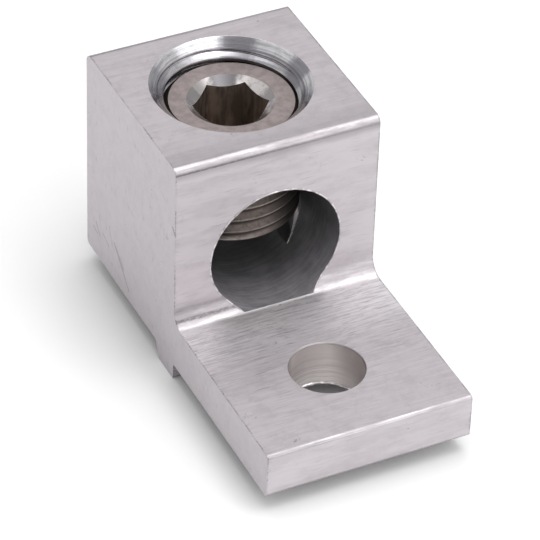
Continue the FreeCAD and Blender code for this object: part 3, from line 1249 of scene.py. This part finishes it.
# The conical entry, bright between its sectors of painted shade, whose edges waver with a noise.
def entryColour(tree, at):
    turn = turnRound(tree, at["x"], difference(tree, at["y"], lug["axis"]))
    waver = difference(tree, drawnOutNoise(tree, at["position"], *screwNoise["entry"]), noiseMiddle)
    turn = maths(tree, "ADD", turn, product(tree, waver, screwFinish["entryWaver"]))
    dulled = largest(tree, sectorShare(tree, turn, entryShadeSectors),
                     softStep(tree, at["mottle"], *screwShare["entryMottle"]))
    return mixColours(tree, dulled, screwFinish["entry"], screwFinish["entryShade"])


def makeScrewMaterial():
    material, tree, shader = newMaterial("turned_aluminium")
    finish = screwFinish
    at = readScrew(tree)
    colour = threadAndFaceColour(tree, at)
    for mask, layer in (
        (dirtAndShadeShare(tree, at), finish["root"]),
        (at["inSocket"], socketColour(tree, at)),
        (at["onEntry"], entryColour(tree, at)),
    ):
        colour = mixColours(tree, mask, colour, layer)
    setInput(tree, shader.inputs["Base Color"], colour)
    shader.inputs["Metallic"].default_value = 1.0
    roughness = mixValues(tree, at["onEntry"], finish["roughness"], finish["entryRoughness"])
    setInput(tree, shader.inputs["Roughness"], roughness)
    height = mixValues(tree, finish["mottleInHeight"], at["rings"]["Height"], at["mottle"])
    setInput(tree, shader.inputs["Normal"], bumpFrom(tree, height, *finish["bump"]))
    return material


# bright raised metal of the lip and the burrs

lipFinish = {
    "colour": (0.86, 0.83, 0.84, 1),
    "dull": (0.5, 0.48, 0.49, 1),
    "roughness": 0.32,
    "patches": (1.3, 3.0),            # a noise's scale and detail
    "share": (0.42, 0.58),
}


def makeLipMaterial():
    material, tree, shader = newMaterial("raised_aluminium")
    position = positionAndNormal(tree)[0]
    share = softStep(tree, noiseAt(tree, position, *lipFinish["patches"]), *lipFinish["share"])
    colour = mixColours(tree, share, lipFinish["dull"], lipFinish["colour"])
    setInput(tree, shader.inputs["Base Color"], colour)
    shader.inputs["Metallic"].default_value = 1.0
    shader.inputs["Roughness"].default_value = lipFinish["roughness"]
    return material


bodyMaterial = makeBodyMaterial()
lipMaterial = makeLipMaterial()
screwMaterial = makeScrewMaterial()

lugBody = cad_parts["lug_body"]
for piece, material in ((lugBody, bodyMaterial), (tappedThread, bodyMaterial), (boreLip, lipMaterial),
                        (tapBurr, lipMaterial), (exitBurr, lipMaterial), (setScrew, screwMaterial)):
    piece.data.materials.clear()
    piece.data.materials.append(material)
print("materials made")

# floor, level under the foot

floorShape = {
    "size": 3000.0,
    "lines": 9,
    "drop": 0.02,
    "seen": 1.0,                      # how light it is to the camera, in the metal and for all else
    "mirrored": 0.91,
    "bounced": 0.45,
}


# A square grid just below the lug's lowest point. The metal mirrors it at its own lightness until a ray has
# met a dull surface.
def makeFloor():
    half = floorShape["size"] / 2
    lines = floorShape["lines"]
    steps = np.linspace(-half, half, lines)
    x, y = np.meshgrid(steps, steps, indexing="ij")
    points = np.stack([x, y, np.full_like(x, bodyLow.z - floorShape["drop"])], -1).reshape(-1, 3)
    faces = gridFaces(lines, lines).reshape(-1, 4)[:, ::-1]
    mesh = bpy.data.meshes.new("studio_floor")
    mesh.from_pydata((points * mm).tolist(), [], faces.tolist())
    made = bpy.data.objects.new("studio_floor", mesh)
    bpy.context.scene.collection.objects.link(made)
    material = bpy.data.materials.new("studio_floor")
    material.use_nodes = True
    tree = material.node_tree
    tree.nodes.clear()
    rays = tree.nodes.new("ShaderNodeLightPath").outputs
    mirrored = product(tree, largest(tree, rays["Is Glossy Ray"], rays["Is Transmission Ray"]),
                       isBelow(tree, rays["Diffuse Depth"], 0.5))
    lightness = mixValues(tree, mirrored, floorShape["bounced"], floorShape["mirrored"])
    lightness = mixValues(tree, rays["Is Camera Ray"], lightness, floorShape["seen"])
    diffuse = tree.nodes.new("ShaderNodeBsdfDiffuse")
    setInput(tree, diffuse.inputs["Color"], lightness)
    out = tree.nodes.new("ShaderNodeOutputMaterial")
    tree.links.new(diffuse.outputs[0], out.inputs[0])
    mesh.materials.append(material)


makeFloor()

# studio: an even surround with a few light boxes in it

surround = {
    "even": 0.57,
    "softEdge": 0.07,
    "leastAhead": 1e-4,               # so that nothing is divided by zero behind a box
    "overhead": 0.99,                 # a box higher than this is turned along X
    # direction of the middle, half width and half height as tangents, and the strength that it adds
    "boxes": [
        {"towards": (0.0, 0.0, 1.0), "wide": 0.42, "high": 0.42, "strength": 0.78},
        {"towards": (0.20, -0.10, 0.97), "wide": 0.22, "high": 0.22, "strength": 2.7},
        {"towards": (0.42, -0.10, 0.90), "wide": 0.24, "high": 0.24, "strength": 0.5},
        {"towards": (0.22, -0.42, 0.88), "wide": 0.24, "high": 0.24, "strength": 0.55},
        {"towards": (0.15, 0.40, 0.90), "wide": 0.30, "high": 0.25, "strength": 1.05},
        {"towards": (0.35, -0.62, 0.70), "wide": 0.50, "high": 0.30, "strength": 0.85},
        {"towards": (-0.75, 0.10, 0.65), "wide": 0.5, "high": 0.14, "strength": 0.12},
        {"towards": (0.45, -0.85, 0.25), "wide": 0.8, "high": 0.2, "strength": 1.2},
    ],
}


# 1 inside a rectangle seen in one direction, from the direction's two sideways parts over its forward one.
def boxMask(tree, direction, box):
    soft = surround["softEdge"]
    towards = Vector(box["towards"]).normalized()
    sideways = Vector((-towards.y, towards.x, 0)) if towards.z < surround["overhead"] else Vector((1, 0, 0))
    sideways.normalize()
    upwards = towards.cross(sideways)
    ahead = vectorMaths(tree, "DOT_PRODUCT", direction, tuple(towards))
    ahead = maths(tree, "MAXIMUM", ahead, surround["leastAhead"])
    mask = isAbove(tree, ahead, 2 * surround["leastAhead"])
    for axis, reach in ((sideways, box["wide"]), (upwards, box["high"])):
        part = maths(tree, "DIVIDE", vectorMaths(tree, "DOT_PRODUCT", direction, tuple(axis)), ahead)
        inside = softStep(tree, maths(tree, "ABSOLUTE", part), reach + soft, reach - soft)
        mask = product(tree, mask, inside)
    return mask


def makeSurround():
    world = bpy.data.worlds.new("studio")
    bpy.context.scene.world = world
    world.use_nodes = True
    tree = world.node_tree
    coordinates = tree.nodes.new("ShaderNodeTexCoord")
    direction = vectorMaths(tree, "NORMALIZE", coordinates.outputs["Generated"])
    strength = surround["even"]
    for box in surround["boxes"]:
        added = product(tree, boxMask(tree, direction, box), box["strength"])
        strength = maths(tree, "ADD", added, strength)
    background = tree.nodes["Background"]
    background.inputs["Color"].default_value = (1, 1, 1, 1)
    setInput(tree, background.inputs["Strength"], strength)


makeSurround()
bpy.context.scene.view_settings.view_transform = "Standard"
print("floor and light made")
